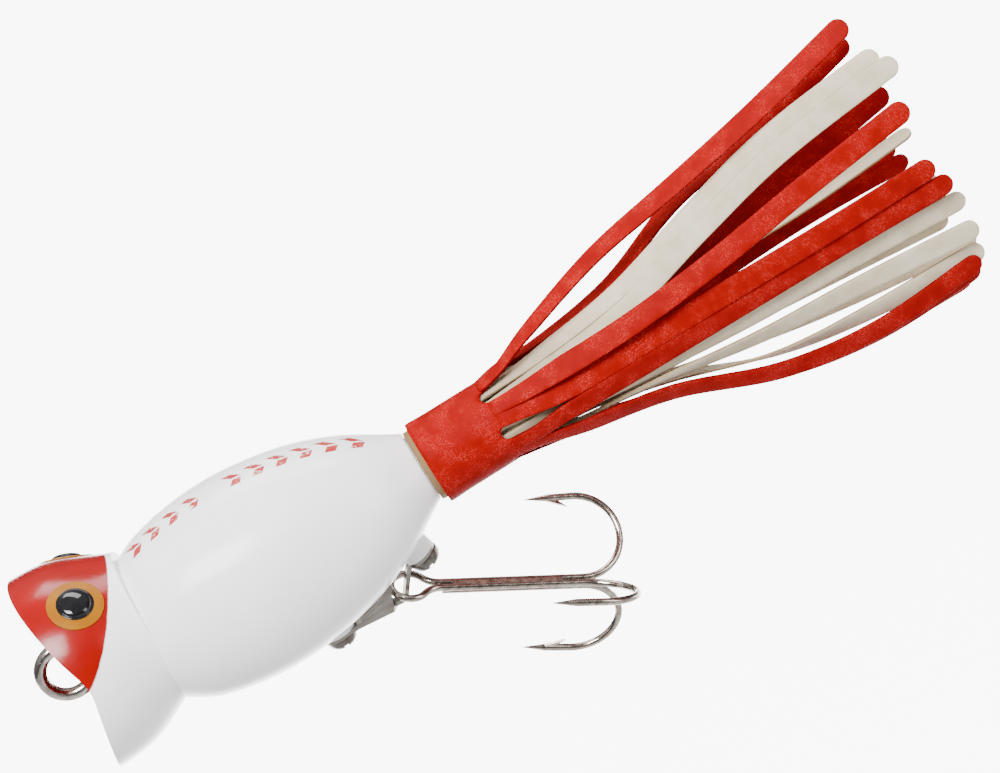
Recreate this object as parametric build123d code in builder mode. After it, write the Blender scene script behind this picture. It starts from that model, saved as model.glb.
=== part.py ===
from build123d import *
import math
import os

# Topwater popper, millimetres.
# Frame: +X runs from the mouth to the tail, +Z is the back of the lure, -Y is its left side.
# The origin is the centre of the line tie's ring, which sits in the middle of the mouth.

# ---- driving dimensions ----
AXIS_Z = -1.8            # height of the axis of the tail spigot and the skirts
WALL = 1.4               # wall of the hollow body
CUP_DEPTH = 7.6          # bottom of the mouth cup, from the origin
CUP_R = 10.4             # radius of the mouth cup at the lips
MOUTH_CORNER_X = 2.85    # how far the corners of the mouth sit behind the lips
MOUTH_CORNER_Z = 1.3
COLLAR_X = 43.6          # front edge of the outer skirt
SPIGOT_R = 3.55          # tail spigot that carries the skirts
SPIGOT_END = 51.4

# turned forms: station x and radius; the head sits a little higher than the trunk
HEAD_Z = -0.2
HEAD = [(-2.2, 11.45), (1.6, 11.3), (3.7, 11.05), (5.8, 10.4), (7.9, 9.4), (10.6, 8.2)]
TRUNK_Z = -1.6
TRUNK = [
    (8.6, 7.2),
    (10.0, 8.1),
    (12.3, 9.35),
    (14.4, 10.0),
    (17.4, 10.55),
    (20.8, 10.85),
    (24.5, 10.75),
    (28.5, 10.2),
    (32.0, 9.4),
    (35.2, 8.25),
    (38.0, 6.9),
    (40.6, 5.3),
    (42.8, 4.0),
]

# line tie
TIE_WIRE_R = 0.7
TIE_RING_R = 2.75        # ring centre-line radius
TIE_BORE_R = 2.1         # reamed land inside the ring
TIE_GAP = 14.0           # gap in the ring, beside its shank, degrees
TIE_END = 18.0           # end of the screw shank
TIE_BOSS_R = 2.6

# eyes
EYE_X = 5.8
EYE_ANGLE = 36.0         # from straight up, towards each side
EYE_TILT = 22.0          # the flare of the head turns the eye towards the tail
IRIS_R = 2.95
IRIS_SKIN = 0.15
PUPIL_R = 1.95
PUPIL_RISE = 0.62

# hook hanger: one stamped strip
STRIP_T = 0.45
STRIP_W = 3.4
PAD_R = 1.95
TONGUE_W = 1.3
FRONT_SCREW_X = 25.9
FRONT_PAD_Z = -12.62     # face of the moulded pad that the strip lies on
REAR_PAD = (37.75, -9.97)
REAR_TILT = 13.0         # slope of the rear pad
APEX = (33.95, -13.75)   # outer corner of the strip's loop
HINGE_UP = 1.4           # from that corner up the loop's leg to the treble hook's hinge
WING_T = 0.4
RAMP_END = 32.2          # where the broad ramp narrows to the tongue

# hanger screws
SCREW_HEAD_R = 1.75
SCREW_HEAD_H = 1.45
SCREW_R = 0.75
SCREW_LEN = 6.2
BOSS_R = 2.0

# treble hook
HOOK_WIRE_R = 0.4
HOOK_PITCH_R = 0.48      # radius that the three wires lie on in the shank
EYE_RING_R = 1.95
EYE_NECK_R = 2.5
BEND_START = 19.0        # along the shank from the eye's centre
HOOK_GAPE_R = 9.75       # widest radius of the wire's centre line
POINT_LEAN = 3.0
POINT_END = 13.7
POINT_LEN = 2.6
BARB_BACK = 4.6
BARB_OUT = 0.75
SHANK_DROP = 32.7        # degrees below +X, at rest
SHANK_ROLL = 50.4        # turn of the first hook from +Y towards the back
HINGE_TO_EYE = 0.3

# skirts: two moulded rubber sleeves, each cut into strands
SLEEVE_OUT = (4.15, 4.65)
SLEEVE_IN = (3.6, 4.1)
SLEEVE_IN_X = 42.95
SLIT_X = 8.9             # bottom of the slits, from the collar
STRAND_W = 2.1
STRAND_T = 0.45
STATIONS = (8.2, 11.5, 16.0, 26.0, 37.0, 48.0)

# strand: root angle, face angle at the tip, length, then (y, z) from the skirt axis at each station
# after the root; angles run from the left side (0) over the back (90)
OUTER_STRANDS = [
    (95, 50, 60.6, (-0.4, 5.2), (-0.5, 7.0), (-0.5, 10.1), (-0.5, 11.9), (-0.5, 14.0), (-0.5, 17.6)),
    (118, 60, 60.4, (2.0, 4.2), (1.9, 4.3), (1.7, 5.8), (1.6, 9.9), (1.9, 11.5), (2.0, 14.5)),
    (150, 130, 61.7, (4.1, 2.3), (4.2, 3.0), (3.9, 3.6), (3.7, 3.4), (3.5, 4.6), (3.5, 6.7)),
    (176, 150, 60.0, (4.6, 0.3), (4.8, 0.4), (5.1, 0.6), (5.2, 0.8), (5.3, 1.0), (5.3, 0.4)),
    (204, 160, 60.6, (4.3, -1.9), (4.6, -1.8), (5.2, -1.7), (5.6, -1.6), (5.8, -1.5), (5.8, -2.0)),
    (26, 12, 61.4, (-4.2, 2.4), (-4.5, 3.0), (-4.8, 3.3), (-4.8, 4.3), (-4.8, 5.9), (-4.8, 7.5)),
    (-4, -3, 60.9, (-4.6, -0.2), (-4.9, 0.3), (-5.4, 0.6), (-5.5, 0.6), (-5.5, 0.5), (-5.5, 0.4)),
    (-34, -8, 61.9, (-3.9, -2.8), (-4.3, -2.6), (-4.8, -2.5), (-5.0, -2.3), (-5.0, -2.3), (-5.0, -2.5)),
    (-62, -40, 60.9, (-2.2, -4.5), (-2.3, -5.1), (-2.6, -6.9), (-2.8, -11.6), (-2.9, -13.4), (-2.9, -13.1)),
    (-90, -60, 60.9, (0.0, -4.9), (0.0, -5.8), (0.0, -7.9), (0.0, -13.0), (0.0, -15.1), (0.0, -15.2)),
    (-118, -90, 59.9, (2.4, -4.6), (2.7, -5.9), (3.0, -8.6), (3.0, -13.9), (3.0, -16.0), (3.0, -16.6)),
    (232, 190, 60.6, (3.2, -3.8), (3.9, -4.5), (5.0, -5.6), (5.6, -6.3), (5.8, -6.6), (5.8, -6.9)),
]
INNER_STRANDS = [
    (80, 45, 61.8, (-0.6, 3.9), (-0.5, 3.9), (0.0, 5.0), (0.6, 8.2), (0.6, 11.0), (0.6, 12.6)),
    (48, 30, 62.9, (-2.5, 2.9), (-2.4, 2.9), (-2.3, 3.8), (-2.2, 7.1), (-2.2, 9.6), (-2.2, 11.3)),
    (128, 100, 61.5, (2.4, 2.9), (2.2, 2.4), (1.8, 1.9), (1.6, 1.6), (1.4, 1.6), (1.2, 2.6)),
    (-26, -12, 62.5, (-3.4, -1.7), (-3.3, -1.8), (-3.1, -2.9), (-3.0, -3.9), (-3.0, -4.5), (-3.0, -5.4)),
    (-52, -20, 60.3, (-2.0, -3.0), (-1.5, -3.4), (-1.0, -4.2), (-0.8, -5.0), (-0.8, -6.0), (-0.8, -7.2)),
    (-78, -30, 62.2, (-0.9, -3.9), (-1.2, -4.2), (-2.6, -5.0), (-3.2, -6.5), (-3.4, -7.4), (-3.6, -8.9)),
    (-104, -50, 62.3, (0.9, -3.9), (1.0, -4.3), (1.1, -6.0), (1.1, -8.4), (1.1, -10.1), (1.1, -11.6)),
    (-130, -60, 61.8, (2.5, -3.2), (2.2, -4.0), (0.6, -6.4), (-1.6, -10.0), (-2.4, -11.2), (-2.6, -11.8)),
    (180, 180, 61.0, (3.8, 0.0), (3.6, -0.9), (3.0, -1.9), (2.9, -2.5), (2.8, -2.9), (2.8, -3.0)),
    (212, 200, 60.6, (3.3, -2.1), (3.3, -2.5), (3.2, -3.4), (3.2, -4.3), (3.2, -4.8), (3.2, -5.0)),
]


def direction(x, y, z):
    return Vector(x, y, z).normalized()


def across(x, z=0.0):
    """Plane across the lure at x, with its own x to +Y and its own y to +Z."""
    return Plane(origin=(x, 0, z), x_dir=(0, 1, 0), z_dir=(1, 0, 0))


# ---- frames of the tilted pieces ----
drop = math.radians(SHANK_DROP)
SHANK = direction(math.cos(drop), 0, -math.sin(drop))
SHANK_UP = direction(math.sin(drop), 0, math.cos(drop))
SIDE = Vector(0, 1, 0)


def hook_side(turn):
    """Unit vector away from the shank, turned about it from +Y towards the back."""
    a = math.radians(turn)
    return SIDE * math.cos(a) + SHANK_UP * math.sin(a)


HOOK_1 = hook_side(SHANK_ROLL)
HOOK_3 = hook_side(SHANK_ROLL + 120)
HOOK_2 = hook_side(SHANK_ROLL - 120)
EYE_SIDE = (HOOK_1 - HOOK_3).normalized()

rear = math.radians(REAR_TILT)
REAR_ALONG = direction(math.cos(rear), 0, math.sin(rear))
REAR_OUT = direction(math.sin(rear), 0, -math.cos(rear))
REAR_SEAT = Vector(REAR_PAD[0], 0, REAR_PAD[1])
FRONT_OUT = Vector(0, 0, -1)
FRONT_SEAT = Vector(FRONT_SCREW_X, 0, FRONT_PAD_Z)

# outer line of the strip, in side view
rear_line = REAR_SEAT + REAR_OUT * STRIP_T
bend_at = rear_line - REAR_ALONG * 1.85
tail_at = rear_line + REAR_ALONG * (PAD_R - 0.25)
STRIP_LINE = [
    (FRONT_SCREW_X - PAD_R, FRONT_PAD_Z - STRIP_T),
    (FRONT_SCREW_X + 2.1, FRONT_PAD_Z - STRIP_T),
    APEX,
    (bend_at.X, bend_at.Z),
    (tail_at.X, tail_at.Z),
]
leg = direction(bend_at.X - APEX[0], 0, bend_at.Z - APEX[1])
LEG_NORMAL = Vector(-leg.Z, 0, leg.X)
HINGE = Vector(APEX[0], 0, APEX[1]) + leg * HINGE_UP + LEG_NORMAL * (STRIP_T / 2)
EYE_CENTRE = HINGE + SHANK * HINGE_TO_EYE
SHANK_ORIGIN = EYE_CENTRE + HOOK_2 * (HOOK_PITCH_R / 2)

# ---- body ----
def turned(stations, height, grow=0.0):
    """Solid turned about a line along X at the given height."""
    with BuildPart() as form:
        with BuildSketch(Plane.XZ):
            with BuildLine():
                edge = Spline(*[(x, height + r + grow) for x, r in stations])
                Polyline(edge @ 1, ((edge @ 1).X, height), ((edge @ 0).X, height), edge @ 0)
            make_face()
        revolve(axis=Axis((0, 0, height), (1, 0, 0)))
    return form.part


with BuildPart() as body_form:
    add(turned(HEAD, HEAD_Z))
    add(turned(TRUNK, TRUNK_Z))

with BuildPart() as cup_form:
    with BuildSketch(Plane.XZ):
        with BuildLine():
            bowl = EllipticalCenterArc((0, 0), CUP_DEPTH, CUP_R, start_angle=0, arc_size=90)
            Polyline(bowl @ 1, (-3, CUP_R), (-3, 0), bowl @ 0)
        make_face()
    revolve(axis=Axis.X)

# the hollow: the body's form less its wall, the back of the cup, the bosses and the tail plug
with BuildPart() as hollow:
    add(turned(TRUNK[:-2], TRUNK_Z, -WALL))
    with BuildSketch(Plane.XZ):
        with BuildLine():
            back = EllipticalCenterArc(
                (0, 0), CUP_DEPTH + WALL, CUP_R + WALL, start_angle=0, arc_size=90
            )
            Polyline(back @ 1, (-3, CUP_R + WALL), (-3, 0), back @ 0)
        make_face()
    revolve(axis=Axis.X, mode=Mode.SUBTRACT)
    with BuildSketch(Plane.YZ):
        Circle(TIE_BOSS_R)
    extrude(amount=TIE_END + 1.2, mode=Mode.SUBTRACT)
    with BuildSketch(Plane(origin=FRONT_SEAT, x_dir=(1, 0, 0), z_dir=FRONT_OUT)):
        Circle(BOSS_R + 0.3)
    extrude(amount=-(SCREW_LEN + 0.8), mode=Mode.SUBTRACT)
    with BuildSketch(Plane(origin=REAR_SEAT, x_dir=REAR_ALONG, z_dir=REAR_OUT)):
        Circle(BOSS_R)
    extrude(amount=-(SCREW_LEN + 0.8), mode=Mode.SUBTRACT)

with BuildPart() as body_blank:
    add(body_form.part)
    # moulded pads for the hanger
    with BuildSketch(Plane(origin=FRONT_SEAT, x_dir=(1, 0, 0), z_dir=FRONT_OUT)):
        Circle(PAD_R + 0.15)
    extrude(amount=-1.5)
    with BuildSketch(Plane(origin=REAR_SEAT, x_dir=REAR_ALONG, z_dir=REAR_OUT)):
        Circle(PAD_R - 0.2)
    extrude(amount=-3)
    # tail spigot with two grip grooves
    with BuildSketch(Plane.XZ):
        with BuildLine():
            Polyline(
                (41.0, AXIS_Z),
                (41.0, AXIS_Z + SPIGOT_R),
                (45.4, AXIS_Z + SPIGOT_R),
                (45.6, AXIS_Z + SPIGOT_R - 0.25),
                (46.4, AXIS_Z + SPIGOT_R - 0.25),
                (46.6, AXIS_Z + SPIGOT_R),
                (48.4, AXIS_Z + SPIGOT_R),
                (48.6, AXIS_Z + SPIGOT_R - 0.25),
                (49.4, AXIS_Z + SPIGOT_R - 0.25),
                (49.6, AXIS_Z + SPIGOT_R),
                (SPIGOT_END - 0.6, AXIS_Z + SPIGOT_R),
                (SPIGOT_END, AXIS_Z + SPIGOT_R - 0.6),
                (SPIGOT_END, AXIS_Z),
                close=True,
            )
        make_face()
    revolve(axis=Axis((0, 0, AXIS_Z), (1, 0, 0)))
    add(hollow.part, mode=Mode.SUBTRACT)
    # mouth: the cup, then the lips cut back to the corners
    add(cup_form.part, mode=Mode.SUBTRACT)
    with BuildSketch(Plane.XZ):
        with BuildLine():
            lips = Polyline((-1.0, 14.3), (MOUTH_CORNER_X, MOUTH_CORNER_Z), (-1.45, -14.3))
            Polyline(lips @ 1, (-8, -14.3), (-8, 14.3), lips @ 0)
        make_face()
        fillet(vertices().sort_by(Axis.X)[-1], radius=5)
    extrude(amount=15, both=True, mode=Mode.SUBTRACT)
    # pilot holes
    with BuildSketch(Plane.YZ.offset(CUP_DEPTH - 1.5)):
        Circle(TIE_WIRE_R)
    extrude(amount=TIE_END - CUP_DEPTH + 1.5, mode=Mode.SUBTRACT)
    with BuildSketch(Plane(origin=FRONT_SEAT, x_dir=(1, 0, 0), z_dir=FRONT_OUT)):
        Circle(SCREW_R)
    extrude(amount=-(SCREW_LEN - STRIP_T), mode=Mode.SUBTRACT)
    with BuildSketch(Plane(origin=REAR_SEAT, x_dir=REAR_ALONG, z_dir=REAR_OUT)):
        Circle(SCREW_R)
    extrude(amount=-(SCREW_LEN - STRIP_T), mode=Mode.SUBTRACT)

# the body is moulded in two halves that are welded on the centre plane
with BuildPart() as body_shell_right:
    add(body_blank.part)
    split(bisect_by=Plane.XZ, keep=Keep.BOTTOM)

with BuildPart() as body_shell_left:
    mirror(body_shell_right.part, about=Plane.XZ)

# ---- line tie: wire bent to a ring, with a screw shank ----
with BuildPart() as line_tie_screw_eye:
    with BuildLine(Plane.XZ) as tie_path:
        CenterArc((0, 0), TIE_RING_R, 0, 360 - TIE_GAP)
    with BuildSketch(Plane(origin=tie_path.line @ 0, z_dir=tie_path.line % 0)):
        Circle(TIE_WIRE_R)
    sweep()
    with BuildSketch(Plane.YZ.offset(TIE_RING_R)):
        Circle(TIE_WIRE_R)
    extrude(amount=TIE_END - TIE_RING_R)
    with BuildSketch(Plane.XZ):
        Circle(TIE_BORE_R)
    extrude(amount=2, both=True, mode=Mode.SUBTRACT)


# ---- eyes ----
def eye_plane(side):
    a = math.radians(EYE_ANGLE)
    t = math.radians(EYE_TILT)
    out = direction(
        math.sin(t), side * math.cos(t) * math.sin(a), math.cos(t) * math.cos(a)
    )
    seat = Vector(EYE_X, side * 10.4 * math.sin(a), HEAD_Z + 10.4 * math.cos(a))
    return Plane(origin=seat, x_dir=(math.cos(t), 0, -math.sin(t) * math.cos(a)), z_dir=out)


with BuildPart() as skin_form:
    add(turned(HEAD, HEAD_Z, IRIS_SKIN))


def iris(side):
    with BuildPart() as ring:
        with BuildSketch(eye_plane(side).offset(-1.5)):
            Circle(IRIS_R)
            Circle(PUPIL_R, mode=Mode.SUBTRACT)
        extrude(amount=3)
        add(skin_form.part, mode=Mode.INTERSECT)
        add(body_form.part, mode=Mode.SUBTRACT)
    return ring.part


def pupil(side):
    seat = eye_plane(side)
    with BuildPart() as dome:
        with BuildSketch(seat.offset(-1.5)):
            Circle(PUPIL_R)
        extrude(amount=1.5 + PUPIL_RISE)
        fillet(dome.faces().sort_by(Axis(seat.origin, seat.z_dir))[-1].edges(), radius=0.5)
        add(body_form.part, mode=Mode.SUBTRACT)
    return dome.part


with BuildPart() as eye_iris_left:
    add(iris(-1))
with BuildPart() as eye_iris_right:
    add(iris(1))
with BuildPart() as eye_pupil_left:
    add(pupil(-1))
with BuildPart() as eye_pupil_right:
    add(pupil(1))

# ---- hook hanger ----
with BuildPart() as hook_hanger:
    with BuildSketch(Plane.XZ):
        with BuildLine():
            FilletPolyline(*STRIP_LINE, radius=[1.5, 0.75, 1.0])
            offset(amount=STRIP_T, side=Side.LEFT)
        make_face()
    extrude(amount=STRIP_W / 2 + 1, both=True)
    # plan outline: round pads, broad ramp, narrow tongue
    with BuildSketch(Plane.XY.offset(-20)):
        with Locations((FRONT_SCREW_X, 0)):
            Circle(PAD_R)
        with BuildLine():
            Polyline(
                (FRONT_SCREW_X, STRIP_W / 2),
                (RAMP_END, STRIP_W / 2),
                (RAMP_END + 0.5, TONGUE_W / 2),
                (REAR_PAD[0], TONGUE_W / 2),
                (REAR_PAD[0], -TONGUE_W / 2),
                (RAMP_END + 0.5, -TONGUE_W / 2),
                (RAMP_END, -STRIP_W / 2),
                (FRONT_SCREW_X, -STRIP_W / 2),
                close=True,
            )
        make_face()
        with Locations((REAR_PAD[0], 0)):
            Circle(PAD_R - 0.25)
    extrude(amount=15, mode=Mode.INTERSECT)
    # side wings folded up towards the body
    with BuildSketch(Plane.XZ.offset(-STRIP_W / 2)):
        with BuildLine():
            Polyline(
                (28.6, -12.9),
                (28.7, -12.1),
                (31.0, -11.5),
                (RAMP_END + 1.0, -10.8),
                (RAMP_END + 0.1, -13.3),
                close=True,
            )
        make_face()
    extrude(amount=WING_T)
    mirror(about=Plane.XZ)
    with BuildSketch(Plane(origin=FRONT_SEAT, x_dir=(1, 0, 0), z_dir=FRONT_OUT)):
        Circle(SCREW_R)
    extrude(amount=1, mode=Mode.SUBTRACT)
    with BuildSketch(Plane(origin=REAR_SEAT, x_dir=REAR_ALONG, z_dir=REAR_OUT)):
        Circle(SCREW_R)
    extrude(amount=1, mode=Mode.SUBTRACT)


# ---- hanger screws ----
def hanger_screw(seat, out):
    head = Plane(origin=seat + out * STRIP_T, x_dir=(0, 1, 0), z_dir=out)
    with BuildPart() as screw:
        with BuildSketch(head):
            Circle(SCREW_HEAD_R)
        extrude(amount=SCREW_HEAD_H)
        fillet(screw.faces().sort_by(Axis(head.origin, out))[-1].edges(), radius=1.3)
        with BuildSketch(head.offset(SCREW_HEAD_H - 0.6)):
            Rectangle(3.6, 0.5)
        extrude(amount=1, mode=Mode.SUBTRACT)
        with BuildSketch(head):
            Circle(SCREW_R)
        extrude(amount=-(SCREW_LEN - 1.2))
        with BuildSketch(head.offset(-(SCREW_LEN - 1.2))):
            Circle(SCREW_R)
        extrude(amount=-1.2, taper=28)
    return screw.part


with BuildPart() as hanger_screw_front:
    add(hanger_screw(FRONT_SEAT, FRONT_OUT))
with BuildPart() as hanger_screw_rear:
    add(hanger_screw(REAR_SEAT, REAR_OUT))


# ---- treble hook ----
def one_hook(side, leg_from):
    """Shank leg, round bend, point leg, spear point and barb, in the plane of the hook's side."""
    plane = Plane(origin=SHANK_ORIGIN, x_dir=SHANK, z_dir=SHANK.cross(side))
    bend_r = (HOOK_GAPE_R - HOOK_PITCH_R) / 2
    lean = math.radians(POINT_LEAN)
    along = Vector(-math.cos(lean), -math.sin(lean))
    outward = Vector(math.sin(lean), -math.cos(lean)) * -1
    bend_end = Vector(BEND_START, HOOK_PITCH_R + bend_r) + outward * bend_r
    base = bend_end + along * (BEND_START - POINT_END - POINT_LEN)
    tip = base + along * POINT_LEN
    with BuildPart() as hook:
        with BuildLine(plane) as path:
            leg_line = Line((leg_from, HOOK_PITCH_R), (BEND_START, HOOK_PITCH_R))
            CenterArc((BEND_START, HOOK_PITCH_R + bend_r), bend_r, -90, 180 + POINT_LEAN)
            Line((bend_end.X, bend_end.Y), (base.X, base.Y))
        with BuildSketch(Plane(origin=leg_line @ 0, z_dir=SHANK)):
            Circle(HOOK_WIRE_R)
        sweep()
        with BuildSketch(plane):
            with BuildLine():
                edge_out = base + outward * HOOK_WIRE_R
                tip_out = tip + outward * 0.03
                Polyline(
                    (base.X, base.Y),
                    (edge_out.X, edge_out.Y),
                    (tip_out.X, tip_out.Y),
                    (tip.X, tip.Y),
                    close=True,
                )
            make_face()
        start = plane.from_local_coords(base)
        revolve(axis=Axis(start, plane.from_local_coords(tip) - start))
        # barb, cut up from the inner side of the wire
        root_front = tip - along * 2.0 - outward * 0.2
        barb_tip = tip - along * BARB_BACK - outward * (HOOK_WIRE_R + BARB_OUT)
        root_back = tip - along * 3.4 - outward * 0.2
        with BuildSketch(plane.offset(-0.16)):
            with BuildLine():
                Polyline(
                    (root_front.X, root_front.Y),
                    (barb_tip.X, barb_tip.Y),
                    (root_back.X, root_back.Y),
                    close=True,
                )
            make_face()
        extrude(amount=0.32)
    return hook.part


with BuildPart() as treble_double_hook:
    add(one_hook(HOOK_1, 6.0))
    add(one_hook(HOOK_3, 6.0))
    # the eye: both legs part, run round the ring and meet
    half = HOOK_PITCH_R * math.sin(math.radians(60))
    neck_a = math.sqrt((EYE_NECK_R + EYE_RING_R) ** 2 - (half + EYE_NECK_R) ** 2)
    neck_turn = math.degrees(math.atan2(neck_a, half + EYE_NECK_R))
    with BuildLine(Plane(origin=EYE_CENTRE, x_dir=SHANK, z_dir=SHANK.cross(EYE_SIDE))) as eye_path:
        Line((6.0, half), (neck_a, half))
        CenterArc((neck_a, half + EYE_NECK_R), EYE_NECK_R, -90, -neck_turn)
        CenterArc((0, 0), EYE_RING_R, 90 - neck_turn, 180 + 2 * neck_turn)
        CenterArc((neck_a, -half - EYE_NECK_R), EYE_NECK_R, 90 + neck_turn, -neck_turn)
        Line((neck_a, -half), (6.0, -half))
    with BuildSketch(Plane(origin=eye_path.line @ 0, z_dir=SHANK)):
        Circle(HOOK_WIRE_R)
    sweep(path=eye_path.wires()[0])

with BuildPart() as treble_single_hook:
    add(one_hook(HOOK_2, 3.6))

# filler between the three legs
with BuildPart() as treble_braze:
    with BuildSketch(Plane(origin=SHANK_ORIGIN + SHANK * 4.6, x_dir=HOOK_1, z_dir=SHANK)):
        Circle(0.68)
        with PolarLocations(HOOK_PITCH_R, 3):
            Circle(HOOK_WIRE_R + 0.002, mode=Mode.SUBTRACT)
    extrude(amount=12)

# ---- skirts ----
def strand(radii, root, face, length, path):
    """A flat strand that leaves the sleeve at its root angle and turns to its face angle."""
    mid_r = (radii[0] + radii[1]) / 2
    a = math.radians(root)
    stops = [(STATIONS[0], -mid_r * math.cos(a), mid_r * math.sin(a))]
    reach = list(STATIONS[1:]) + [length]
    stops += [(x, y, z) for x, (y, z) in zip(reach, path)]
    with BuildPart() as ribbon:
        for x, y, z in stops:
            share = (x - STATIONS[0]) / (length - STATIONS[0])
            turn = math.radians(root + (face - root) * share)
            width_dir = (0, math.sin(turn), math.cos(turn))
            origin = (COLLAR_X + x, y, AXIS_Z + z)
            with BuildSketch(Plane(origin=origin, x_dir=width_dir, z_dir=(1, 0, 0))):
                Rectangle(STRAND_W, STRAND_T)
        loft(ruled=True)
    return ribbon.part


with BuildPart() as skirt_outer:
    with BuildSketch(across(COLLAR_X, AXIS_Z)):
        Circle(SLEEVE_OUT[1])
        Circle(SLEEVE_OUT[0], mode=Mode.SUBTRACT)
    extrude(amount=SLIT_X)
    for root, face, length, *path in OUTER_STRANDS:
        add(strand(SLEEVE_OUT, root, face, length, path))

with BuildPart() as skirt_inner:
    with BuildSketch(across(SLEEVE_IN_X, AXIS_Z)):
        Circle(SLEEVE_IN[1])
        Circle(SLEEVE_IN[0], mode=Mode.SUBTRACT)
    extrude(amount=COLLAR_X + SLIT_X - SLEEVE_IN_X)
    for root, face, length, *path in INNER_STRANDS:
        add(strand(SLEEVE_IN, root, face, length, path))

# ---- labels and files ----
pieces = {
    "body_shell_left": body_shell_left,
    "body_shell_right": body_shell_right,
    "line_tie_screw_eye": line_tie_screw_eye,
    "eye_iris_left": eye_iris_left,
    "eye_iris_right": eye_iris_right,
    "eye_pupil_left": eye_pupil_left,
    "eye_pupil_right": eye_pupil_right,
    "hook_hanger": hook_hanger,
    "hanger_screw_front": hanger_screw_front,
    "hanger_screw_rear": hanger_screw_rear,
    "treble_double_hook": treble_double_hook,
    "treble_single_hook": treble_single_hook,
    "treble_braze": treble_braze,
    "skirt_outer": skirt_outer,
    "skirt_inner": skirt_inner,
}

os.makedirs("parts", exist_ok=True)
for name, piece in pieces.items():
    piece.part.label = name
    export_step(piece.part, f"parts/{name}.step")

print("hinge", HINGE, "eye centre", EYE_CENTRE)
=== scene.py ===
import math

import bpy
from mathutils import Matrix, Vector


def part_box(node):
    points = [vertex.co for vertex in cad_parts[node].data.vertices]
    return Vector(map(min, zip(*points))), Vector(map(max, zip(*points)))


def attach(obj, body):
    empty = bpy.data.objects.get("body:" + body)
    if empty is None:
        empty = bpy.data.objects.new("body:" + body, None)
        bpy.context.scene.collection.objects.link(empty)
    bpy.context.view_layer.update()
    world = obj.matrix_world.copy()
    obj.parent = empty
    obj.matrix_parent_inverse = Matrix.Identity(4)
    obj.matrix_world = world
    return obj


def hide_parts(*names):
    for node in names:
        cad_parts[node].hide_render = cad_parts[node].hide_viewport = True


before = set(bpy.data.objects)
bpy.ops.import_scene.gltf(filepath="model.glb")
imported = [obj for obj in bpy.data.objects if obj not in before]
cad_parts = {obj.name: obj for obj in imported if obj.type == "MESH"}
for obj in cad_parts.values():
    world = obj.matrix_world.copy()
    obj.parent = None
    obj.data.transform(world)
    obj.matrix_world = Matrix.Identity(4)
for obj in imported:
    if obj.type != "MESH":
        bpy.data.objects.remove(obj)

MM = 0.001


def write_size():
    """Brings the scene's object matrices up to date."""
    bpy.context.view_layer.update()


write_size()

# ---------------------------------------------------------------- places on the lure
COLLAR_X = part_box("skirt_outer")[0][0] / MM   # front edge of the outer skirt
INNER_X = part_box("skirt_inner")[0][0] / MM    # front edge of the inner skirt
AXIS_Z = -1.8                                 # height of the tail collar's and the skirts' axis, mm


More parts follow.
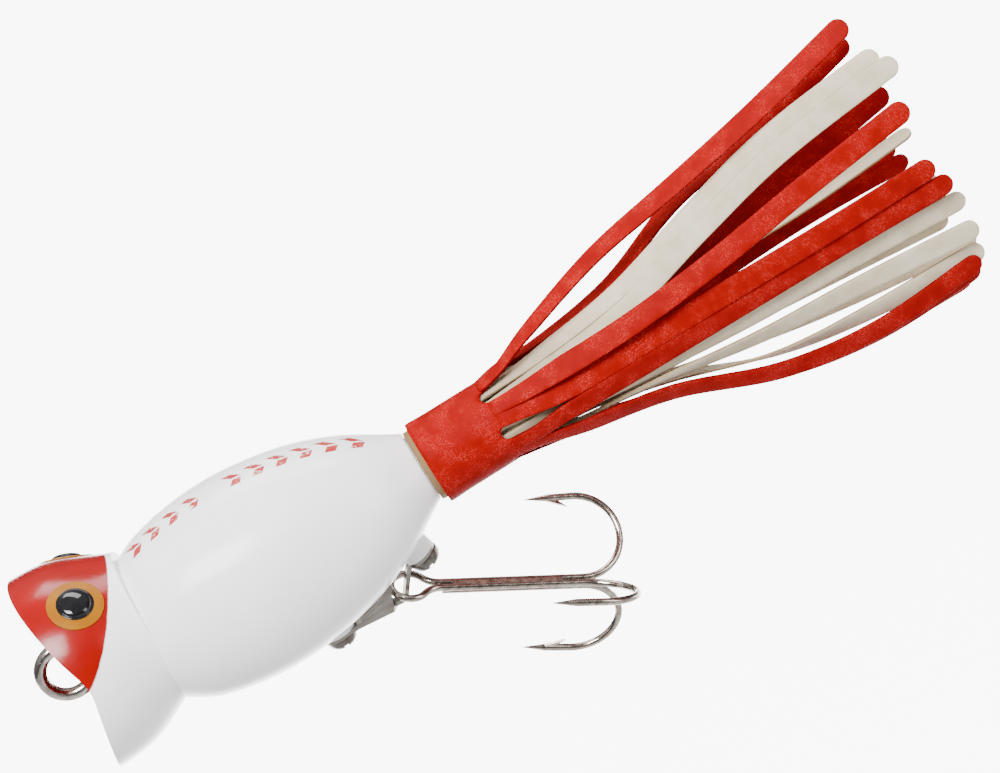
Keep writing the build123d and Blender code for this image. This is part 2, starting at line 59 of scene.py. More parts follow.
# ---------------------------------------------------------------- node helpers
class Nodes:
    """A short way to write a shader: each call makes a node and returns its output."""

    def __init__(self, name):
        self.mat = bpy.data.materials.new(name)
        self.mat.use_nodes = True
        self.tree = self.mat.node_tree
        self.tree.nodes.clear()
        self.out = self.tree.nodes.new("ShaderNodeOutputMaterial")
        self.pos = self.tree.nodes.new("ShaderNodeTexCoord").outputs["Object"]

    def put(self, socket, value):
        if isinstance(value, bpy.types.NodeSocket):
            self.tree.links.new(value, socket)
        elif value is not None:
            socket.default_value = value

    def math(self, op, a, b=None, c=None, clamp=False):
        n = self.tree.nodes.new("ShaderNodeMath")
        n.operation = op
        n.use_clamp = clamp
        for i, v in enumerate((a, b, c)):
            if v is not None:
                self.put(n.inputs[i], v)
        return n.outputs[0]

    def split(self, vector):
        n = self.tree.nodes.new("ShaderNodeSeparateXYZ")
        self.put(n.inputs[0], vector)
        return n.outputs

    def join(self, x, y, z):
        n = self.tree.nodes.new("ShaderNodeCombineXYZ")
        for i, v in enumerate((x, y, z)):
            self.put(n.inputs[i], v)
        return n.outputs[0]

    def scaled(self, vector, factors):
        n = self.tree.nodes.new("ShaderNodeVectorMath")
        n.operation = "MULTIPLY"
        self.put(n.inputs[0], vector)
        n.inputs[1].default_value = factors
        return n.outputs[0]

    def noise(self, scale, detail=4.0, rough=0.55, vector=None):
        n = self.tree.nodes.new("ShaderNodeTexNoise")
        self.put(n.inputs["Vector"], self.pos if vector is None else vector)
        n.inputs["Scale"].default_value = scale
        n.inputs["Detail"].default_value = detail
        n.inputs["Roughness"].default_value = rough
        return n.outputs["Fac"]

    def cells(self, scale):
        n = self.tree.nodes.new("ShaderNodeTexVoronoi")
        self.put(n.inputs["Vector"], self.pos)
        n.inputs["Scale"].default_value = scale
        return n.outputs["Distance"]

    def ramp(self, fac, stops):
        n = self.tree.nodes.new("ShaderNodeValToRGB")
        n.color_ramp.elements[0].position, n.color_ramp.elements[0].color = stops[0]
        n.color_ramp.elements[1].position, n.color_ramp.elements[1].color = stops[-1]
        for position, color in stops[1:-1]:
            n.color_ramp.elements.new(position).color = color
        self.put(n.inputs[0], fac)
        return n.outputs[0]

    def step(self, value, low, high):
        """0 below low, 1 above high, smooth between."""
        n = self.tree.nodes.new("ShaderNodeMapRange")
        n.interpolation_type = "SMOOTHSTEP"
        self.put(n.inputs["Value"], value)
        n.inputs["From Min"].default_value = low
        n.inputs["From Max"].default_value = high
        return n.outputs[0]

    def mix(self, fac, a, b):
        n = self.tree.nodes.new("ShaderNodeMix")
        n.data_type = "RGBA"
        self.put(n.inputs["Factor"], fac)
        self.put(n.inputs["A"], a)
        self.put(n.inputs["B"], b)
        return n.outputs["Result"]

    def bump(self, height, strength, distance, normal=None):
        n = self.tree.nodes.new("ShaderNodeBump")
        n.inputs["Strength"].default_value = strength
        n.inputs["Distance"].default_value = distance
        self.put(n.inputs["Height"], height)
        self.put(n.inputs["Normal"], normal)
        return n.outputs[0]

    def surface(self, **values):
        n = self.tree.nodes.new("ShaderNodeBsdfPrincipled")
        for name, value in values.items():
            self.put(n.inputs[name.replace("_", " ")], value)
        self.tree.links.new(n.outputs[0], self.out.inputs["Surface"])
        return self.mat


def rgb(r, g, b):
    return (r, g, b, 1.0)


# ---------------------------------------------------------------- materials
# red of the head: it ends at a line that curves up from the corner of the mouth to the neck, mm
RED_START_X = 2.6
RED_START_Z = 1.2
RED_SLOPE = 0.55
RED_CURVE = 0.052
RED_END_X = 12.0
RED_SOFT = 0.12
# cup of the mouth, an ellipsoid about the X axis, mm
CUP_DEPTH = 7.6
CUP_RADIUS_SQUARED = 108.2
# chevrons along the back, mm
MARKS_AXIS_Z = -1.6
MARKS_TURN = 0.14             # how far they sit round the back, radians
MARKS_START_X = 12.6
MARKS_END_X = 40.1
MARKS_PITCH = 2.5
MARKS_GAP_X = 23.85           # middle of the gap between the two groups
MARKS_HALF_GAP = 1.2
MARK_HALF_HEIGHT = 1.25
MARK_SWEEP = 0.75             # how far the arms of a chevron lean back
MARK_SKEW = -0.3              # how far one arm leads the other


def head_edge(s, x, z):
    """Distance inside the red of the head, roughened a little like a sprayed edge."""
    spray = s.math("MULTIPLY", s.math("SUBTRACT", s.noise(900, 3), 0.5), 0.25)
    back = s.math("SUBTRACT", x, RED_START_X)
    slope = s.math("MULTIPLY", back, RED_SLOPE)
    curve = s.math("ADD", slope, s.math("MULTIPLY", s.math("POWER", back, 2), RED_CURVE))
    edge = s.math("SUBTRACT", s.math("SUBTRACT", z, RED_START_Z), curve)
    edge = s.math("ADD", edge, spray)
    return s.math("MINIMUM", edge, s.math("SUBTRACT", RED_END_X, x))


def chevrons(s, x, y, z):
    """1 on the chevrons along the back, which stand in two groups."""
    up = s.math("SUBTRACT", z, MARKS_AXIS_Z)
    height = s.math("ARCTAN2", s.math("MULTIPLY", y, -1), up)
    reach = s.math("SQRT", s.math("ADD", s.math("POWER", y, 2), s.math("POWER", up, 2)))
    arc = s.math("MULTIPLY", s.math("SUBTRACT", height, MARKS_TURN), reach)
    off = s.math("ABSOLUTE", arc)
    run = s.math("ADD", x, s.math("MULTIPLY", off, MARK_SWEEP))
    run = s.math("ADD", run, s.math("MULTIPLY", arc, MARK_SKEW))
    pitch = s.math("FRACT", s.math("DIVIDE", s.math("SUBTRACT", run, MARKS_START_X), MARKS_PITCH))
    bar = s.step(s.math("ABSOLUTE", s.math("SUBTRACT", pitch, 0.5)), 0.235, 0.205)
    tall = s.step(off, MARK_HALF_HEIGHT, MARK_HALF_HEIGHT - 0.08)
    bridge = s.step(off, 0.10, 0.17)
    started = s.step(run, MARKS_START_X, MARKS_START_X + 0.05)
    rows = s.math("MULTIPLY", started, s.step(run, MARKS_END_X, MARKS_END_X - 0.1))
    from_gap = s.math("ABSOLUTE", s.math("SUBTRACT", run, MARKS_GAP_X))
    group = s.step(from_gap, MARKS_HALF_GAP, MARKS_HALF_GAP + 0.05)
    marks = s.math("MULTIPLY", s.math("MULTIPLY", bar, tall), s.math("MULTIPLY", bridge, rows))
    marks = s.math("MULTIPLY", marks, group)
    worn = s.step(s.noise(1400, 5, 0.7), 0.33, 0.45)
    return s.math("MULTIPLY", marks, worn)


def body_material():
    """White gloss plastic, red over the upper head and in the mouth, with worn chevrons."""
    s = Nodes("body_paint")
    x, y, z = s.split(s.scaled(s.pos, (1000, 1000, 1000)))
    red = s.step(head_edge(s, x, z), -RED_SOFT, RED_SOFT)
    # inside of the cup
    across = s.math("ADD", s.math("POWER", y, 2), s.math("POWER", z, 2))
    deep = s.math("POWER", s.math("DIVIDE", x, CUP_DEPTH), 2)
    cup = s.math("ADD", deep, s.math("DIVIDE", across, CUP_RADIUS_SQUARED))
    inside = s.math("MULTIPLY", s.step(cup, 1.10, 1.04), s.step(x, 8.2, 7.9))
    red = s.math("MAXIMUM", red, inside)
    # faint overspray round the lips
    mist = s.math("MULTIPLY", s.step(cup, 1.30, 1.08), s.step(x, 3.6, 0.0))
    mist = s.math("MULTIPLY", mist, s.math("MULTIPLY", s.noise(1500, 4), 0.35))
    marks = chevrons(s, x, y, z)
    white = s.ramp(s.noise(120, 3), [(0.3, rgb(0.83, 0.825, 0.825)), (0.7, rgb(0.89, 0.885, 0.89))])
    paint = s.ramp(s.noise(300, 4), [(0.3, rgb(0.21, 0.0001, 0.0001)), (0.75, rgb(0.25, 0.0002, 0.0002))])
    ink = s.ramp(s.noise(900, 4), [(0.3, rgb(0.34, 0.02, 0.02)), (0.7, rgb(0.42, 0.045, 0.04))])
    # painted reflection: faint pink towards the tail, the red skirt's reflection painted into the white
    painted_skirt_reflection = s.math("MULTIPLY", s.step(x, 38.0, 43.5), s.math("MULTIPLY", s.noise(260, 4), 0.22))
    color = s.mix(s.math("MAXIMUM", mist, painted_skirt_reflection), white, rgb(0.72, 0.12, 0.12))
    color = s.mix(marks, color, ink)
    color = s.mix(red, color, paint)
    peel = s.bump(s.noise(700, 2), 0.10, 0.0002)
    lift = s.bump(s.math("MAXIMUM", red, marks), 0.35, 0.00004, peel)
    rough = s.ramp(s.noise(260, 5), [(0.3, rgb(0.17, 0.17, 0.17)), (0.75, rgb(0.25, 0.25, 0.25))])
    return s.surface(
        Base_Color=color, Roughness=rough, Normal=lift, IOR=1.48, Specular_IOR_Level=0.3,
    )


def metal_material(name, light, dark, rough, stain=0.0, stretch=(1, 1, 1), depth=0.00004):
    """Plated or stamped steel with fine lines, stains and small pits."""
    s = Nodes(name)
    lines = s.noise(1600, 6, 0.6, s.scaled(s.pos, stretch))
    blotch = s.noise(520, 6, 0.65)
    pits = s.step(s.cells(2600), 0.12, 0.05)
    color = s.ramp(lines, [(0.3, dark), (0.72, light)])
    old = s.math("MULTIPLY", s.step(blotch, 0.52, 0.68), stain)
    color = s.mix(old, color, rgb(0.16, 0.085, 0.07))
    color = s.mix(s.math("MULTIPLY", pits, 0.5), color, rgb(0.05, 0.045, 0.04))
    r = s.math("ADD", s.math("MULTIPLY", s.math("SUBTRACT", lines, 0.5), 0.25), rough)
    r = s.math("ADD", r, s.math("MULTIPLY", old, 0.25), clamp=True)
    grain = s.math("ADD", s.math("MULTIPLY", lines, 0.5), s.math("MULTIPLY", blotch, 0.5))
    height = s.math("SUBTRACT", grain, pits)
    return s.surface(
        Base_Color=color, Metallic=1.0, Roughness=r, Normal=s.bump(height, 0.35, depth),
    )


def gloss_material(name, low, high, rough, scale, shine):
    """Smooth paint or plastic; shine is the strength of its reflection."""
    s = Nodes(name)
    color = s.ramp(s.noise(scale, 4), [(0.3, low), (0.7, high)])
    bump = s.bump(s.noise(scale * 2, 3), 0.06, 0.0001)
    return s.surface(Base_Color=color, Roughness=rough, Normal=bump, IOR=1.5,
                     Specular_IOR_Level=shine)


# tan brown used as painted shade at the ivory skirt's front edge and strand roots
ROOT_SHADE_TAN = rgb(0.20, 0.125, 0.06)


def rubber_material(name, low, high, fleck, fleck_amount, rough, painted_tan_shade=False):
    """Satin rubber with talc specks, faint lengthwise drawing lines and soft mottling.

    With painted shade turned on, the rubber is browner at its front edge and towards the roots of its
    strands, painted as shade where sleeves and strands overlap.
    """
    s = Nodes(name)
    mottle = s.noise(420, 5, 0.6)
    drawn = s.noise(1100, 3, 0.5, s.scaled(s.pos, (0.12, 1, 1)))
    color = s.ramp(mottle, [(0.3, low), (0.7, high)])
    specks = s.step(s.cells(7000), 0.40, 0.20)
    talc = s.math("MULTIPLY", specks, s.step(s.noise(420, 5), 0.40, 0.64))
    color = s.mix(s.math("MULTIPLY", talc, fleck_amount), color, fleck)
    if painted_tan_shade:
        # painted shade: tan at the sleeve's front edge and towards the strands' roots, where they lie in
        # shade
        x = s.split(s.pos)[0]
        front = s.step(x, (COLLAR_X + 2.5) * MM, (COLLAR_X + 1.0) * MM)
        root = s.math("MULTIPLY", s.step(x, (COLLAR_X + 30) * MM, (COLLAR_X + 8) * MM), 0.45)
        color = s.mix(s.math("MAXIMUM", front, root), color, ROOT_SHADE_TAN)
    height = s.math("ADD", s.math("MULTIPLY", drawn, 0.6), s.math("MULTIPLY", specks, 0.3))
    r = s.math("ADD", s.math("MULTIPLY", mottle, 0.15), rough)
    return s.surface(
        Base_Color=color, Roughness=r, Normal=s.bump(height, 0.3, 0.00005), IOR=1.5,
        Specular_IOR_Level=0.05,
    )


BODY = body_material()
NICKEL = metal_material("nickel_wire", rgb(0.60, 0.56, 0.51), rgb(0.28, 0.25, 0.22), 0.16, 0.3)
HANGER = metal_material(
    "hanger_steel", rgb(0.34, 0.315, 0.28), rgb(0.19, 0.17, 0.15), 0.32, 0.3, (0.3, 1, 1),
)
SCREW = metal_material("screw_steel", rgb(0.17, 0.155, 0.14), rgb(0.045, 0.04, 0.036), 0.26, 0.35)
HOOK = metal_material("hook_wire", rgb(0.52, 0.46, 0.40), rgb(0.17, 0.135, 0.115), 0.13, 0.35)
BRAZE = metal_material(
    "braze_filler", rgb(0.26, 0.155, 0.13), rgb(0.07, 0.035, 0.03), 0.5, 0.6, depth=0.00012,
)
IRIS = gloss_material("iris_paint", rgb(0.22, 0.072, 0.0), rgb(0.26, 0.098, 0.0), 0.4, 500, 0.12)
PUPIL = gloss_material("pupil_bead", rgb(0.002, 0.002, 0.003), rgb(0.008, 0.008, 0.009), 0.06, 700, 0.35)
RED = rubber_material(
    "rubber_red", rgb(0.19, 0.0001, 0.0001), rgb(0.265, 0.0002, 0.0002),
    rgb(0.52, 0.06, 0.045), 0.8, 0.55,
)
IVORY = rubber_material(
    "rubber_ivory", rgb(0.45, 0.38, 0.26), rgb(0.57, 0.50, 0.38),
    rgb(0.72, 0.68, 0.60), 0.3, 0.5, painted_tan_shade=True,
)
# painted shade: the strands' narrow cut edges get darker copies of each rubber, as shade on them
RED_EDGE_SHADE = rubber_material(
    "rubber_red_edge_shade", rgb(0.10, 0.0001, 0.0001), rgb(0.15, 0.0002, 0.0002),
    rgb(0.35, 0.04, 0.03), 0.5, 0.6,
)
IVORY_EDGE_SHADE = rubber_material(
    "rubber_ivory_edge_shade", rgb(0.22, 0.15, 0.075), rgb(0.33, 0.24, 0.13),
    rgb(0.5, 0.42, 0.3), 0.3, 0.6,
)


def dress(obj, mat):
    """Give every face of a CAD mesh one material."""
    obj.data.materials.clear()
    obj.data.materials.append(mat)
    for face in obj.data.polygons:
        face.material_index = 0


for node, mat in {
    "body_shell_left": BODY, "body_shell_right": BODY,
    "line_tie_screw_eye": NICKEL, "hook_hanger": HANGER,
    "hanger_screw_front": SCREW, "hanger_screw_rear": SCREW,
    "treble_double_hook": HOOK, "treble_single_hook": HOOK, "treble_braze": BRAZE,
    "eye_iris_left": IRIS, "eye_iris_right": IRIS,
    "eye_pupil_left": PUPIL, "eye_pupil_right": PUPIL,
}.items():
    dress(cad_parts[node], mat)


# ---------------------------------------------------------------- mesh helpers
def mesh_object(name, verts, faces, mat, smooth=True):
    mesh = bpy.data.meshes.new(name)
    mesh.from_pydata([tuple(v) for v in verts], [], faces)
    mesh.validate()
    mesh.update()
    obj = bpy.data.objects.new(name, mesh)
    bpy.context.scene.collection.objects.link(obj)
    mesh.materials.append(mat)
    if smooth:
        for face in mesh.polygons:
            face.use_smooth = True
    return obj


def spline(points, t):
    """Catmull-Rom curve through the points; t runs from 0 to the number of spans."""
    last = len(points) - 1
    i = min(int(t), last - 1)
    f = t - i
    p1, p2 = points[i], points[i + 1]
    p0 = points[i - 1] if i > 0 else p1 * 2 - p2
    p3 = points[i + 2] if i + 2 <= last else p2 * 2 - p1
    return 0.5 * (
        (2 * p1) + (p2 - p0) * f + (2 * p0 - 5 * p1 + 4 * p2 - p3) * f * f
        + (3 * p1 - p0 - 3 * p2 + p3) * f ** 3
    )


# ---------------------------------------------------------------- skirts
STATIONS = (8.5, 11.5, 16.0, 26.0, 37.0, 48.0)   # from the collar to the root and on, mm
STRAND_T = 0.46
CURVE_STEPS = 400                                # fine steps that measure along a strand
RINGS = 64                                       # rings of points along a strand
TIP_RINGS = 9                                    # closer rings that round its tip
AROUND = 20                                      # points round a strand
# narrow side faces of a strand, which get the darker painted-shade rubber
EDGE_SHADE_FACES = (0, AROUND // 2 - 1, AROUND // 2, AROUND - 1)
# strand: root angle, face angle at the tip, distance of the tip from the collar,
# then (y, z) from the axis at each station after the root, and at the tip
OUTER = [
    (81, 38, 60.6, (-1.0, 5.3), (-0.9, 7.1), (-0.6, 10.2), (-0.5, 12.1), (-0.5, 14.2), (-0.5, 17.2)),
    (99, 45, 60.4, (1.0, 4.8), (1.5, 4.5), (2.2, 5.6), (2.8, 9.4), (3.0, 11.1), (3.0, 14.2)),
    (141, 195, 61.7, (3.6, 3.2), (3.9, 3.3), (3.9, 3.6), (3.7, 3.5), (3.5, 4.8), (3.5, 6.9)),
    (159, 188, 60.0, (4.4, 1.6), (4.8, 1.0), (5.1, 0.8), (5.2, 0.9), (5.3, 1.1), (5.3, 0.5)),
    (201, 160, 60.6, (4.5, -1.5), (4.8, -1.6), (5.2, -1.5), (5.5, -1.3), (5.6, -1.2), (5.7, -1.9)),
    (39, 14, 61.4, (-3.9, 2.8), (-4.3, 2.9), (-4.8, 3.2), (-4.8, 4.2), (-4.8, 5.8), (-4.8, 7.4)),
    (21, -2, 60.9, (-4.4, 1.3), (-4.5, 0.8), (-4.4, 0.5), (-4.6, 0.4), (-4.9, 0.35), (-5.0, 0.4)),
    (-21, -6, 61.9, (-4.3, -1.8), (-4.4, -1.6), (-4.3, -1.8), (-4.3, -1.9), (-4.4, -2.0), (-4.5, -2.3)),
    (-39, -12, 60.9, (-3.3, -3.3), (-3.0, -4.6), (-2.6, -6.9), (-2.8, -11.3), (-2.9, -13.1), (-2.9, -12.5)),
    (-81, -22, 60.9, (-0.7, -4.9), (-0.4, -5.9), (0.0, -8.2), (0.0, -12.9), (0.0, -14.9), (0.0, -14.6)),
    (-99, -40, 59.9, (1.0, -4.9), (1.6, -6.0), (2.6, -9.1), (3.0, -14.2), (3.0, -16.3), (3.0, -16.7)),
    (219, 190, 60.6, (3.6, -3.2), (4.2, -4.2), (5.0, -5.5), (5.5, -6.2), (5.6, -6.5), (5.6, -6.8)),
]
INNER = [
    (75, 34, 61.8, (-1.0, 3.9), (-0.8, 4.1), (-0.8, 5.4), (-1.0, 8.6), (-1.2, 11.3), (-1.4, 12.8)),
    (45, 20, 62.9, (-2.6, 2.8), (-2.4, 2.9), (-2.4, 4.0), (-2.6, 7.2), (-2.8, 9.9), (-2.9, 11.6)),
    (105, 80, 61.5, (1.3, 3.7), (1.6, 2.9), (1.8, 1.9), (1.6, 1.6), (1.4, 1.6), (1.2, 2.6)),
    (-15, -8, 62.5, (-3.6, -1.1), (-3.4, -1.7), (-3.2, -2.9), (-3.0, -4.0), (-3.0, -4.5), (-3.0, -5.4)),
    (-45, -14, 60.3, (-2.5, -2.7), (-1.8, -3.2), (-1.2, -4.2), (-0.9, -5.0), (-0.9, -6.0), (-0.9, -7.2)),
    (-75, 0, 62.2, (-1.3, -3.8), (-1.6, -4.2), (-2.7, -5.0), (-3.2, -6.5), (-3.4, -7.4), (-3.6, -8.8)),
    (-105, 5, 62.3, (0.9, -3.9), (1.0, -4.3), (1.0, -6.0), (0.9, -8.4), (0.9, -10.0), (0.9, -11.5)),
    (-135, 0, 61.8, (2.3, -3.2), (2.0, -4.0), (0.6, -6.4), (-1.4, -9.8), (-2.2, -11.2), (-2.4, -11.8)),
    (15, 4, 61.0, (-3.5, 0.7), (-3.2, 0.1), (-2.6, -1.0), (-2.2, -1.9), (-2.2, -2.2), (-2.2, -2.2)),
    (165, 150, 60.6, (3.5, 0.6), (3.4, -0.6), (3.2, -2.4), (3.2, -3.6), (3.2, -4.2), (3.2, -4.4)),
]


def strand_mesh(verts, faces, edge_shade_faces, mid_r, root, face, length, path, root_w, tip_w):
    """A rubber ribbon: an arc of the sleeve at its root, flat further out, with a round tip."""
    a = math.radians(root)
    stops = [Vector((STATIONS[0], -mid_r * math.cos(a), mid_r * math.sin(a)))]
    stops += [Vector((x, y, z)) for x, (y, z) in zip(STATIONS[1:] + (length,), path)]
    spans = len(stops) - 1
    fine = [spline(stops, spans * i / CURVE_STEPS) for i in range(CURVE_STEPS + 1)]
    reach = [0.0]
    for i in range(CURVE_STEPS):
        reach.append(reach[-1] + (fine[i + 1] - fine[i]).length)
    total = reach[-1]
    half_tip = tip_w / 2
    # even rings along the curve, closer at the tip
    marks = [total * i / RINGS for i in range(RINGS)]
    marks = [m for m in marks if m < total - half_tip * 1.05]
    for i in range(TIP_RINGS + 1):
        marks.append(total - half_tip * (1 - math.sin(math.pi / 2 * i / TIP_RINGS)))
    first = len(verts)
    j = 0
    for m in marks:
        while j < CURVE_STEPS - 1 and reach[j + 1] < m:
            j += 1
        f = (m - reach[j]) / max(reach[j + 1] - reach[j], 1e-9)
        p = fine[j].lerp(fine[j + 1], min(max(f, 0.0), 1.0))
        tangent = (fine[min(j + 1, CURVE_STEPS)] - fine[max(j - 1, 0)]).normalized()
        share = m / total
        ease = share * share * (3 - 2 * share)
        turn = math.radians(root + (face - root) * (0.35 * share + 0.65 * ease))
        side = Vector((0, math.sin(turn), math.cos(turn)))
        side = (side - tangent * side.dot(tangent)).normalized()
        normal = side.cross(tangent).normalized()
        opened = min(m / 9.0, 1.0)
        width = root_w + (tip_w - root_w) * opened
        left = total - m
        if left < half_tip:
            width *= math.sqrt(max(1 - (1 - left / half_tip) ** 2, 0.0015))
        thick = STRAND_T * (1.0 - 0.12 * share)
        if left < 0.25:
            thick *= 0.55 + 0.45 * left / 0.25
        camber = max(0.12 * (1 - share), 1 - m / 8.0) / (2 * mid_r)
        # a low power makes the section a rounded rectangle, sharper at the root
        power = 0.2 + 0.3 * min(m / 3.0, 1.0)
        for k in range(AROUND):
            angle = 2 * math.pi * k / AROUND
            wide = math.cos(angle)
            high = math.sin(angle)
            across = math.copysign(abs(wide) ** power, wide) * width / 2
            depth = math.copysign(abs(high) ** power, high) * thick / 2
            depth += camber * across * across
            q = p + side * across + normal * depth
            verts.append(((COLLAR_X + q.x) * MM, q.y * MM, (AXIS_Z + q.z) * MM))
    rings = len(marks)
    for i in range(rings - 1):
        for k in range(AROUND):
            k2 = (k + 1) % AROUND
            b = first + i * AROUND
            if k in EDGE_SHADE_FACES:
                edge_shade_faces.append(len(faces))
            faces.append((b + k, b + k2, b + AROUND + k2, b + AROUND + k))
    faces.append(tuple(first + k for k in reversed(range(AROUND))))
    faces.append(tuple(first + (rings - 1) * AROUND + k for k in range(AROUND)))


SLEEVE_END = 9.35        # rear edge of a sleeve, from the collar, mm
SLIT_BOTTOM = 8.15       # front of the slits between the strands
SLEEVE_COLUMNS = 360
SLEEVE_ROWS = 14
FRONT_ROUND = 0.12       # length of the rounding at the front edge
REAR_THIN = 0.9          # length over which the rear edge thins out beneath the strands


def sleeve_mesh(verts, faces, radii, front, slit_half, slit_step, flare):
    """A tube whose rear edge has round-bottomed slits; front is measured from the collar."""
    inner, outer = radii
    mid = (inner + outer) / 2
    first = len(verts)
    for c in range(SLEEVE_COLUMNS):
        angle = 2 * math.pi * c / SLEEVE_COLUMNS
        off = (math.degrees(angle) + slit_step / 2) % slit_step - slit_step / 2
        d = abs(math.radians(off)) * mid
        end = SLEEVE_END
        if d < slit_half:
            end = SLIT_BOTTOM + slit_half - math.sqrt(slit_half ** 2 - d * d)
        ring = []
        for side in (0, 1):
            radius = outer if side == 0 else inner
            for r in range(SLEEVE_ROWS):
                f = r / (SLEEVE_ROWS - 1)
                f = f if side == 0 else 1 - f
                x = front + (end - front) * f
                lift = flare * max(0.0, 1 - (x - front) / 3.0) ** 2
                wave = 0.03 * math.sin(3 * angle + 1.1) + 0.02 * math.sin(5 * angle)
                rr = radius + lift + wave * (1 - f)
                edge = x - front
                if edge < FRONT_ROUND:
                    rr += (0.06 if side else -0.06) * (1 - edge / FRONT_ROUND)
                edge = end - x
                if edge < REAR_THIN:
                    rr += (0.17 if side else -0.17) * (1 - edge / REAR_THIN) ** 1.5
                ring.append((x, -rr * math.cos(angle), rr * math.sin(angle)))
        for x, y, z in ring:
            verts.append(((COLLAR_X + x) * MM, y * MM, (AXIS_Z + z) * MM))
    n = 2 * SLEEVE_ROWS
    for c in range(SLEEVE_COLUMNS):
        c2 = (c + 1) % SLEEVE_COLUMNS
        for r in range(n):
            r2 = (r + 1) % n
            here = first + c * n
            beside = first + c2 * n
            faces.append((here + r, here + r2, beside + r2, beside + r))


def skirt(name, strands, radii, front, slit_half, slit_step, widths, mats, node, flare):
    """One rubber skirt; widths are a strand's at its root and tip, mats its face and its narrow cut edge,
    the latter a darker copy as painted shade.
    """
    verts, faces, edge_shade_faces = [], [], []
    sleeve_mesh(verts, faces, radii, front, slit_half, slit_step, flare)
    mid_r = (radii[0] + radii[1]) / 2
    for root, face, length, *path in strands:
        strand_mesh(verts, faces, edge_shade_faces, mid_r, root, face, length, path, *widths)
    obj = mesh_object(name, verts, faces, mats[0])
    obj.data.materials.append(mats[1])
    for index in edge_shade_faces:
        obj.data.polygons[index].material_index = 1
    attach(obj, "lure")
    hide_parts(node)


skirt(
    "skirt_red", OUTER, (4.17, 4.65), 0.0, 0.81, 60.0, (1.62, 2.5),
    (RED, RED_EDGE_SHADE), "skirt_outer", 0.12,
)
skirt(
    "skirt_ivory", INNER, (3.62, 4.1), INNER_X - COLLAR_X, 0.27, 30.0, (1.42, 2.4),
    (IVORY, IVORY_EDGE_SHADE), "skirt_inner", 0.0,
)


# ---------------------------------------------------------------- eyes: a domed bead in a thin rim
EYE_X = 5.8                       # middle of an eye, mm
EYE_ROUND = math.radians(36.0)    # how far it sits round the head from the top
EYE_BACK = math.radians(22.0)     # how far it is turned back towards the tail
HEAD_R = 10.4                     # from the head's axis to the eye
HEAD_Z = -0.2                     # height of the head's axis
BEAD_R = 1.66
BEAD_BASE = 0.10
BEAD_DOME = 0.52
BEAD_STEPS = 16


def pupil(name, side, node):
    """A domed bead standing in a thin rim, on one side of the head."""
    a = EYE_ROUND
    t = EYE_BACK
    out = Vector((math.sin(t), side * math.cos(t) * math.sin(a), math.cos(t) * math.cos(a))).normalized()
    seat = Vector((EYE_X, side * HEAD_R * math.sin(a), HEAD_Z + HEAD_R * math.cos(a)))
    u = Vector((math.cos(t), 0, -math.sin(t) * math.cos(a)))
    u = (u - out * u.dot(out)).normalized()
    v = out.cross(u)
    profile = [(1.94, -0.9), (1.94, 0.02), (1.90, 0.07), (1.80, 0.09), (1.72, 0.07), (BEAD_R, BEAD_BASE)]
    for i in range(1, BEAD_STEPS):
        p = math.pi / 2 * i / BEAD_STEPS
        profile.append((BEAD_R * math.cos(p), BEAD_BASE + BEAD_DOME * math.sin(p)))
    around = 64
    verts, faces = [], []
    for radius, height in profile:
        for k in range(around):
            w = 2 * math.pi * k / around
            p = seat + (u * math.cos(w) + v * math.sin(w)) * radius + out * height
            verts.append(p * MM)
    verts.append((seat + out * (BEAD_BASE + BEAD_DOME)) * MM)
    for i in range(len(profile) - 1):
        for k in range(around):
            k2 = (k + 1) % around
            low = i * around
            high = low + around
            faces.append((low + k, low + k2, high + k2, high + k))
    top = (len(profile) - 1) * around
    for k in range(around):
        faces.append((top + k, top + (k + 1) % around, len(verts) - 1))
    faces.append(tuple(reversed(range(around))))
    obj = mesh_object(name, verts, faces, PUPIL)
    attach(obj, "lure")
    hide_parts(node)


pupil("pupil_bead_left", -1, "eye_pupil_left")
pupil("pupil_bead_right", 1, "eye_pupil_right")

# ---------------------------------------------------------------- floor, lights, camera
CAMERA_AIM = Vector((54.2, 1.06, 0.83)) * MM
TO_CAMERA = Vector((0, -0.927, 0.375)).normalized()
RIGHT = Vector((0.848, -0.199, -0.491)).normalized()
UP = TO_CAMERA.cross(RIGHT)
DISTANCE = 0.315
FLOOR_Z = -0.30


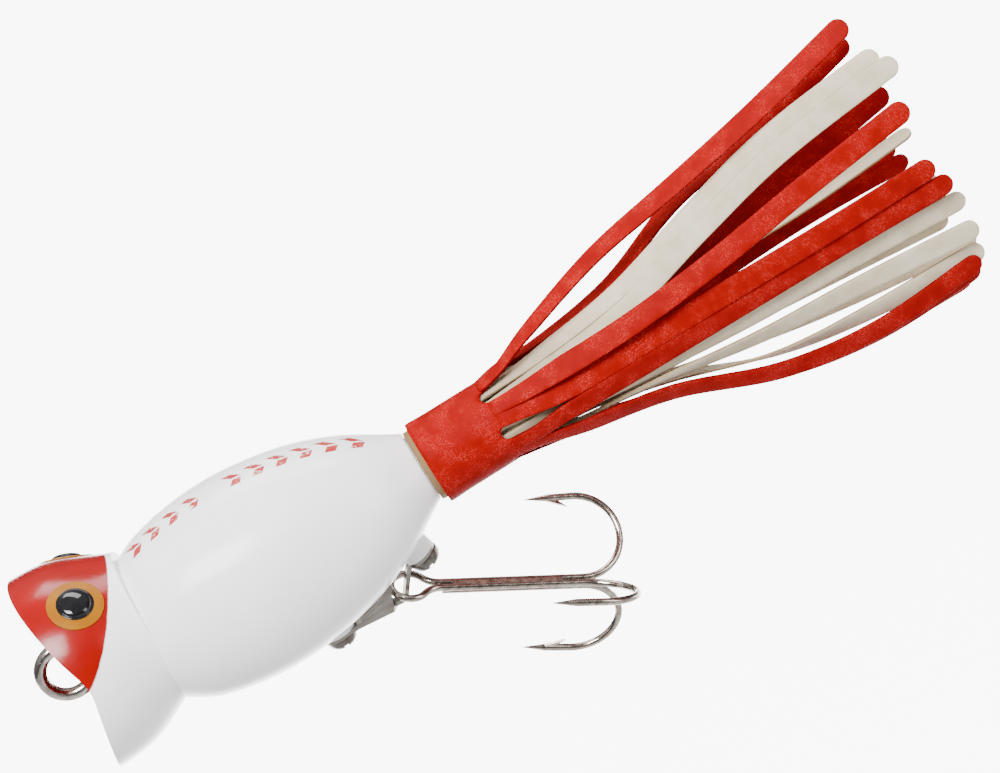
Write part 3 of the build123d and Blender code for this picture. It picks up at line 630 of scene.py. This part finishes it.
def floor():
    """Pale paper below the lure that glows by itself, faintly all over and brightly where it lies behind
    the lure in the picture: painted light.
    """
    s = Nodes("floor_paper")
    color = s.ramp(s.noise(30, 3), [(0.3, rgb(0.78, 0.78, 0.78)), (0.7, rgb(0.80, 0.80, 0.80))])
    x, y, z = s.split(s.pos)
    painted_glow_patch = s.math("MULTIPLY", s.step(y, 0.08, 0.30), s.step(s.math("ABSOLUTE", x), 1.3, 0.7))
    # painted light: the paper's own glow, strongest in the patch behind the lure
    glow = s.math("ADD", s.math("MULTIPLY", painted_glow_patch, 8.0), 0.3)
    mat = s.surface(Base_Color=color, Roughness=0.8, Normal=s.bump(s.noise(900, 3), 0.05, 0.0002),
                    Emission_Color=rgb(1, 1, 1), Emission_Strength=glow)
    corners = [(-4, -4, FLOOR_Z), (4, -4, FLOOR_Z), (4, 5, FLOOR_Z), (-4, 5, FLOOR_Z)]
    obj = mesh_object("floor", corners, [(0, 1, 2, 3)], mat, False)


def area(name, place, aim, size, power):
    """A soft box at place, turned to aim."""
    light = bpy.data.lights.new(name, "AREA")
    light.shape = "RECTANGLE"
    light.size, light.size_y = size
    light.energy = power
    obj = bpy.data.objects.new(name, light)
    bpy.context.scene.collection.objects.link(obj)
    obj.location = place
    obj.rotation_euler = (Vector(aim) - Vector(place)).to_track_quat("-Z", "Y").to_euler()


floor()
area("key_front", (-0.06, -0.28, 0.36), (0.04, 0, 0), (0.24, 0.18), 6.4)
area("rim_top", (0.14, 0.16, 0.34), (0.06, 0, 0), (0.30, 0.12), 1.5)
area("fill_right", (0.34, -0.22, 0.06), (0.06, 0, 0), (0.12, 0.26), 0.7)

# a dim room that is brighter overhead
world = bpy.data.worlds.new("studio")
bpy.context.scene.world = world
world.use_nodes = True
sky = world.node_tree
where = sky.nodes.new("ShaderNodeTexCoord")
parts = sky.nodes.new("ShaderNodeSeparateXYZ")
rise = sky.nodes.new("ShaderNodeMapRange")
rise.interpolation_type = "SMOOTHSTEP"
rise.inputs["From Min"].default_value = 0.15
rise.inputs["From Max"].default_value = 0.75
rise.inputs["To Min"].default_value = 0.16
rise.inputs["To Max"].default_value = 0.7
sky.links.new(where.outputs["Generated"], parts.inputs[0])
sky.links.new(parts.outputs[2], rise.inputs["Value"])
sky.links.new(rise.outputs[0], sky.nodes["Background"].inputs["Strength"])
sky.nodes["Background"].inputs["Color"].default_value = (1, 1, 1, 1)

lens = bpy.data.cameras.new("camera")
lens.lens = 108
lens.sensor_width = 36
lens.clip_start = 0.01
camera = bpy.data.objects.new("camera", lens)
bpy.context.scene.collection.objects.link(camera)
turn = Matrix((RIGHT, UP, TO_CAMERA)).transposed().to_4x4()
camera.matrix_world = Matrix.Translation(CAMERA_AIM + TO_CAMERA * DISTANCE) @ turn
bpy.context.scene.camera = camera

write_size()
